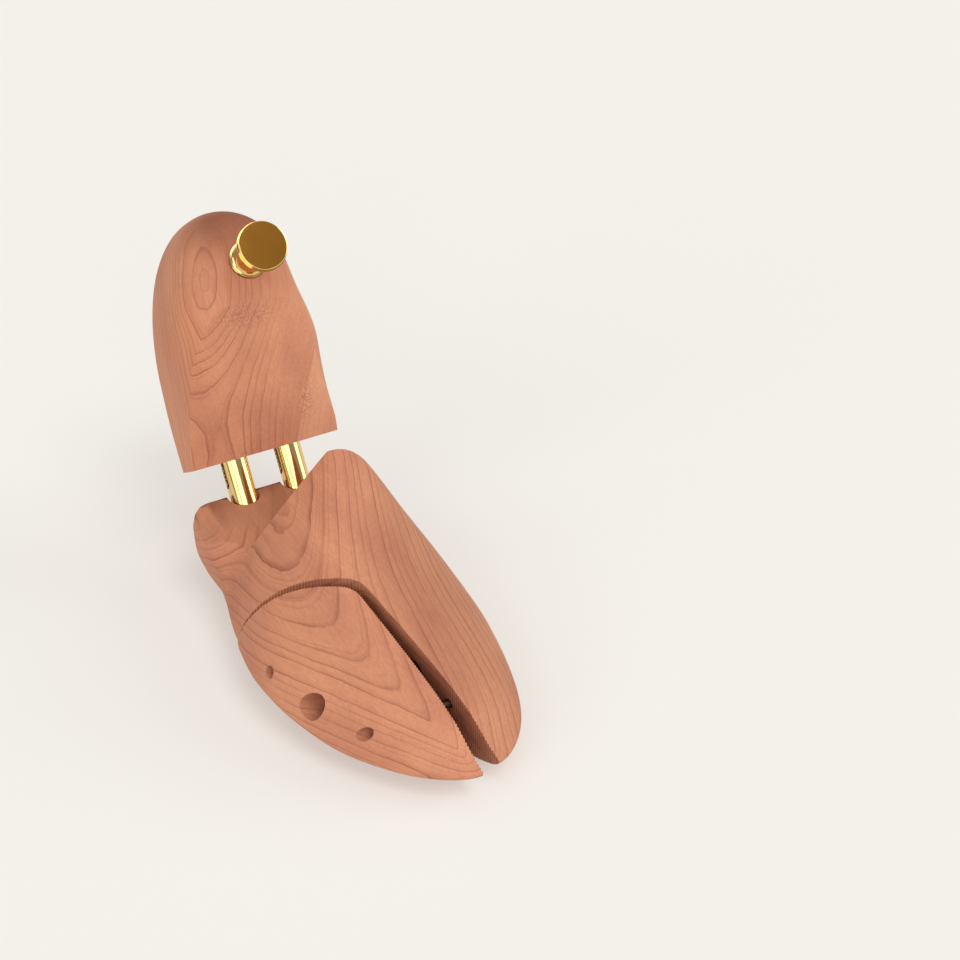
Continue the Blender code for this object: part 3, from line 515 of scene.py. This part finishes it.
# Painted shade deep in the saw cut toward the tip.
toe_deep_cut_shade = ((0.096, 0.006, 0.010), (0.045, 0.040, 0.040))
toe_cedar = cedar("toe_block_cedar", toe_heart_place, (0.0, 0.0, 0.0), toe_heart_across, toe_heart_up,
                  toe_heart_taper, toe_ring_gap, toe_ring_phase, toe_seed, toe_painted_shade,
                  calm=toe_calm, deep_cut_shade=toe_deep_cut_shade, eye=toe_eye)
toe_block = joined_copy("toe_block", "toe_block_wood", toe_cedar)
saw_ridges(toe_block, -1.0, 0.0)
softened(toe_block, toe_crisp_angle, toe_soft_reach)
finish_piece(toe_block, toe_cedar, "toe", "toe_block")

opened = Matrix.Rotation(flap_turn, 3, "Z")
flap_heart_place = flap_pivot - opened @ (flap_pivot - Vector(toe_heart_place))
flap_cedar = cedar("toe_flap_cedar", tuple(flap_heart_place), (0.0, 0.0, flap_turn), toe_heart_across,
                   toe_heart_up, toe_heart_taper, toe_ring_gap, toe_ring_phase, toe_seed)
toe_flap = joined_copy("toe_flap", "toe_flap_wood", flap_cedar)
bored(toe_flap, (("flap_screw", 0.0060), ("flap_guide_pin_rear", 0.0030), ("flap_guide_pin_front", 0.0030)))
saw_ridges(toe_flap, 1.0, flap_turn)
softened(toe_flap, toe_crisp_angle, toe_soft_reach)
finish_piece(toe_flap, flap_cedar, "flap", "toe_flap")

# Heel block
# The same cedar, carved round and then sanded to one broad flat on top and a smaller one beside it,
# both crisp. The rings show as long ovals on the crown and as bent lines where the flat cuts them.
heel_heart_place = (-0.09457, 0.0, 0.07868)
heel_lie = (0.0, math.radians(58.5), 0.0)
heel_heart_across = (-0.0248, 0.2018, -1.1075)
heel_heart_up = (0.0552, -0.4867, -10.333)
heel_heart_taper = 0.495
heel_ring_gap = 0.00262
heel_ring_phase = 4.07
heel_seed = 11.0
heel_crisp_angle = math.radians(9.0)
heel_soft_reach = 0.0060
# Crown painted darker, partly a darker heartwood tone and partly painted shade where it turns from the light;
# a smaller painted shade round the knob's foot; the outer flank painted lighter, as painted light.
heel_shade_light_and_tone = (((-0.044, 0.006, 0.034), (0.024, 0.030, 0.030), (0.58, 0.52, 0.48, 1.0)),
                ((-0.022, 0.012, 0.044), (0.015, 0.014, 0.014), (0.86, 0.82, 0.80, 1.0)),
                ((-0.010, -0.032, 0.030), (0.034, 0.020, 0.030), (1.08, 1.08, 1.00, 1.0)))
# Flats painted lighter: partly the paler sanded end grain, partly painted light.
heel_flat_tone_and_light = (("top_flat", (1.04, 1.08, 1.10, 1.0)), ("side_flat", (1.20, 1.36, 1.38, 1.0)))
heel_calm = ((0.014, 0.024, 0.032), (0.085, 0.036, 0.060))
heel_scuffs = (((-0.0085, -0.004, 0.0405), (0.0080, 0.019, 0.0080)),
               ((0.0242, 0.0168, 0.0185), (0.017, 0.006, 0.012)))
heel_cedar = cedar("heel_block_cedar", heel_heart_place, heel_lie, heel_heart_across, heel_heart_up,
                   heel_heart_taper, heel_ring_gap, heel_ring_phase, heel_seed, heel_shade_light_and_tone, heel_flat_tone_and_light,
                   heel_calm, heel_scuffs)
heel_block = joined_copy("heel_block", "heel_block_wood", heel_cedar)
softened(heel_block, heel_crisp_angle, heel_soft_reach)
flat_marks = {"top_flat": [], "side_flat": []}
for face in heel_block.data.polygons:
    facing, middle = face.normal, face.center
    on_top = facing.x > 0.9996
    low_in_front = middle.z < 0.090 and middle.x > -0.0800
    beside = 0.970 < facing.x < 0.986 and facing.y > 0.10 and low_in_front
    flat_marks["top_flat"] += [1.0 if on_top else 0.0] * 3
    flat_marks["side_flat"] += [1.0 if beside else 0.0] * 3
for mark, values in flat_marks.items():
    heel_block.data.attributes.new(mark, "FLOAT", "CORNER").data.foreach_set("value", values)
finish_piece(heel_block, heel_cedar, "heel", "heel_block")


# Brass tubes and hinge pin
# Drawn brass tube, polished bright and slotted in both side walls. Both tubes turn on the hinge
# pin, a plain brass rod pressed through the shelf of the toe block.
def brass(name, roughness, seed, pale=(0.90, 0.63, 0.25), face=None):
    """Polished brass with a faint haze and hairline scratches. A face is the place and turn of a piece,
    the heights between which its painted dark reflection starts, and the colour of that painted reflection."""
    finish = Finish(name, Metallic=1.0)
    here = finish.node("TexCoord", output="Object")
    haze = finish.node("TexNoise", {"noise_dimensions": "4D"}, Vector=here, W=seed, Scale=140.0, Detail=4.0)
    scratch = finish.stretched(here, (500.0, 2500.0, 500.0), seed, 2.0)
    deep = tuple(level * 0.9 for level in pale)
    colour = finish.node("ValToRGB", {"stops": ((0.3, deep), (0.7, pale))}, haze)
    # Painted dark reflection on the face, from the heights given.
    if face:
        place, turn, low, high, painted_dark = face
        own = finish.node("Mapping", {"vector_type": "TEXTURE"}, Vector=here, Location=place, Rotation=turn)
        height = finish.node("SeparateXYZ", None, own, output="Z")
        share = finish.node("MapRange", None, height, low, high, 0.0, 1.0)
        colour = finish.blend(share, colour, painted_dark)
    bump = finish.node("Bump", None, Strength=0.04, Distance=0.0001, Height=scratch)
    return finish.drive(Base_Color=colour, Roughness=haze * (roughness * 0.6) + roughness * 0.7, Normal=bump)


for node, body, roughness in (("tube_outer", "tubes", 0.12), ("tube_inner", "tubes", 0.12),
                              ("hinge_pin", "toe", 0.30)):
    metal = joined_copy(node, node + "_metal")
    smooth_piece(metal)
    finish_piece(metal, brass(node + "_brass", roughness, len(node)), body, node)

# Knob
# Turned from brass bar and polished: a flat disc, a groove under its shoulder, a hollow waist and a
# flanged foot. The face of the disc is painted a deeper gold-brown, a painted dark reflection. It screws on a
# stud in the crown.
knob_seat = (-0.073907, 0.0017, 0.124301)
knob_tilt = math.radians(53.1)
knob_steps = 96
knob_bore, knob_bore_depth = 0.0023, 0.0070
knob_height = 0.0206
# Painted dark reflection on the disc's face.
knob_face_start = 0.0203
knob_face_painted_dark = (0.63, 0.275, 0.043, 1.0)
knob_gold = (0.90, 0.60, 0.22)


def turned_curve(start, end, hollow, steps=9):
    """Quarter turn of a turning tool between two (radius, height) places."""
    points = []
    for k in range(steps + 1):
        turn = math.pi / 2.0 * k / steps
        swift, slow = math.sin(turn), 1.0 - math.cos(turn)
        share, rise = (swift, slow) if hollow else (slow, swift)
        points.append((start[0] + (end[0] - start[0]) * share, start[1] + (end[1] - start[1]) * rise))
    return points


knob_profile = [(0.0, knob_bore_depth), (knob_bore, knob_bore_depth), (knob_bore, 0.0003), (0.00645, 0.0003)]
knob_profile += turned_curve((0.00645, 0.0003), (0.0068, 0.00065), False, 3)[1:]
knob_profile += turned_curve((0.0068, 0.00115), (0.00645, 0.0015), True, 3)
knob_profile += turned_curve((0.00645, 0.0015), (0.0044, 0.0065), True)[1:]
knob_profile += turned_curve((0.0044, 0.0128), (0.0087, 0.0184), False)
knob_profile += [(0.00905, 0.01865), (0.00905, 0.0190), (0.00875, 0.0190), (0.00875, 0.0193)]
knob_profile += turned_curve((0.00875, 0.0202), (0.0083, knob_height), True, 4)
knob_profile += [(0.0079, knob_height), (0.0, knob_height)]
knob_mesh = bpy.data.meshes.new("knob_turned")
knob_mesh.from_pydata([(radius, 0.0, height) for radius, height in knob_profile],
                      [(k, k + 1) for k in range(len(knob_profile) - 1)], [])
knob = bpy.data.objects.new("knob_turned", knob_mesh)
bpy.context.scene.collection.objects.link(knob)
bpy.context.view_layer.objects.active = knob
knob.select_set(True)
bpy.ops.object.mode_set(mode="EDIT")
bpy.ops.mesh.select_all(action="SELECT")
bpy.ops.mesh.spin(steps=knob_steps, angle=2.0 * math.pi, center=(0.0, 0.0, 0.0), axis=(0.0, 0.0, 1.0))
bpy.ops.mesh.select_all(action="SELECT")
bpy.ops.mesh.remove_doubles(threshold=0.000001)
bpy.ops.mesh.normals_make_consistent(inside=False)
bpy.ops.object.mode_set(mode="OBJECT")
knob.select_set(False)
knob_mesh.transform(Matrix.Translation(knob_seat) @ Matrix.Rotation(knob_tilt, 4, "Y"))
smooth_piece(knob, 30.0)
knob_face = (knob_seat, (0.0, knob_tilt, 0.0), knob_face_start, knob_height, knob_face_painted_dark)
knob_brass = brass("knob_brass", 0.09, 4.0, knob_gold, knob_face)
finish_piece(knob, knob_brass, "heel", "knob")


# Steel pins, screw, stud and springs
# Plain drawn steel, a little dull. The pins and the stud are driven or screwed into the wood, and
# the springs are wound from wire. The guide pins and the spring in the saw cut are browned.
def steel(name, seed, level, tint):
    """Dull steel of one brightness and tint, with fine grime."""
    finish = Finish(name, Metallic=1.0)
    here = finish.node("TexCoord", output="Object")
    grime = finish.node("TexNoise", {"noise_dimensions": "4D"}, Vector=here, W=seed, Scale=400.0, Detail=3.0)
    dark, light = (tuple(level * part * share for part in tint) for share in (0.74, 1.0))
    colour = finish.node("ValToRGB", {"stops": ((0.3, dark), (0.7, light))}, grime)
    bump = finish.node("Bump", None, Strength=0.08, Distance=0.0001, Height=grime)
    return finish.drive(Base_Color=colour, Roughness=grime * 0.2 + 0.32, Normal=bump)


plain, browned = (1.0, 1.0, 1.0), (1.0, 0.48, 0.33)
for node, body, level, tint in (("flap_guide_pin_rear", "toe", 0.13, browned),
                                ("flap_guide_pin_front", "toe", 0.13, browned),
                                ("flap_screw", "toe", 0.30, plain), ("flap_spring", "toe", 0.16, browned),
                                ("tube_spring_outer", "tubes", 0.50, plain),
                                ("tube_spring_inner", "tubes", 0.50, plain),
                                ("heel_cross_pin", "heel", 0.50, plain), ("knob_stud", "heel", 0.50, plain)):
    metal = joined_copy(node, node + "_metal")
    smooth_piece(metal)
    finish_piece(metal, steel(node + "_steel", float(len(node)), level, tint), body, node)

# Springs
# Each coil spring's length along its joint's line, and that joint's travel, are worked out: for the two
# in the tubes the heel block's slide to the toe, and for the flap's the flap's swing. Each gets a mesh of its
# own.
joints = {joint["name"]: joint for joint in frame["record"]["behaviour"]["joints"]}
slide_line = Vector(joints["heel_slide"]["axis"])
slide_travel = joints["heel_slide"]["range_m"][1]
middle, screw_line = long_line("flap_screw")
if screw_line.y < 0.0:
    screw_line = -screw_line
flap_travel = (middle.xy - flap_pivot.xy).length * math.radians(joints["flap_swing"]["range_deg"][1])
for name, joint, line, travel in (("tube_spring_outer_metal", "heel_slide", slide_line, slide_travel),
                                  ("tube_spring_inner_metal", "heel_slide", slide_line, slide_travel),
                                  ("flap_spring_metal", "flap_swing", screw_line, flap_travel)):
    spring = bpy.data.objects[name]
    reaches = [vert.co.dot(line) for vert in spring.data.vertices]
    length = max(reaches) - min(reaches)
    tuple(line * max(reaches))
    (length - travel) / length
    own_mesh(spring)

# Floor and light
# A plain off-white sheet under five broad soft lights: overhead, from the front, from the toe and
# from both sides.
floor_width, floor_drop = 8.0, 0.0004
unlit_share, unlit_colour = 0.40, (0.905, 0.880, 0.831, 1.0)
world_level = 0.33
bpy.ops.mesh.primitive_plane_add(size=floor_width, location=(0.0, 0.0, -floor_drop))
floor = bpy.context.object
floor.name = "floor_sheet"
paper = Finish("floor_sheet_paper", Roughness=0.9, Specular_IOR_Level=0.0)
here = paper.node("TexCoord", output="Object")
tooth = paper.node("TexNoise", None, Vector=here, Scale=3.0, Detail=2.0)
pale = paper.node("ValToRGB", {"stops": ((0.2, (0.935, 0.909, 0.858)), (0.8, (0.943, 0.917, 0.866)))}, tooth)
paper.drive(Base_Color=pale)
seen = paper.node("LightPath", output="Is Camera Ray")
mirrored = Value(paper, seen.socket.node.outputs["Is Glossy Ray"])
through = Value(paper, seen.socket.node.outputs["Is Transmission Ray"])
even = paper.node("Emission", None, Color=unlit_colour, Strength=1.0)
sheet = paper.node("MixShader", None, (seen + mirrored + through) * unlit_share)
paper.tree.links.new(paper.shader.outputs[0], sheet.socket.node.inputs[1])
paper.tree.links.new(even.socket, sheet.socket.node.inputs[2])
paper.tree.links.new(sheet.socket, paper.tree.nodes["Material Output"].inputs["Surface"])
floor.data.materials.append(paper.material)

for name, towards, spread, power in (("overhead_light", (-0.10, 0.05, 1.0), 60.0, 0.30),
                                     ("front_light", (0.50, 0.12, 0.86), 30.0, 0.80),
                                     ("toe_light", (0.82, -0.40, 0.40), 36.0, 0.72),
                                     ("outer_side_light", (0.30, -0.83, 0.45), 40.0, 0.72),
                                     ("inner_side_light", (0.30, 0.85, 0.40), 40.0, 0.95)):
    lamp_data = bpy.data.lights.new(name, "SUN")
    lamp_data.angle = math.radians(spread)
    lamp_data.energy = power
    lamp = bpy.data.objects.new(name, lamp_data)
    bpy.context.scene.collection.objects.link(lamp)
    lamp.rotation_euler = (-Vector(towards)).to_track_quat("-Z", "Y").to_euler()

world = bpy.data.worlds.new("studio")
bpy.context.scene.world = world
world.use_nodes = True
background = world.node_tree.nodes["Background"]
background.inputs["Color"].default_value = (1.0, 1.0, 1.0, 1.0)
background.inputs["Strength"].default_value = world_level
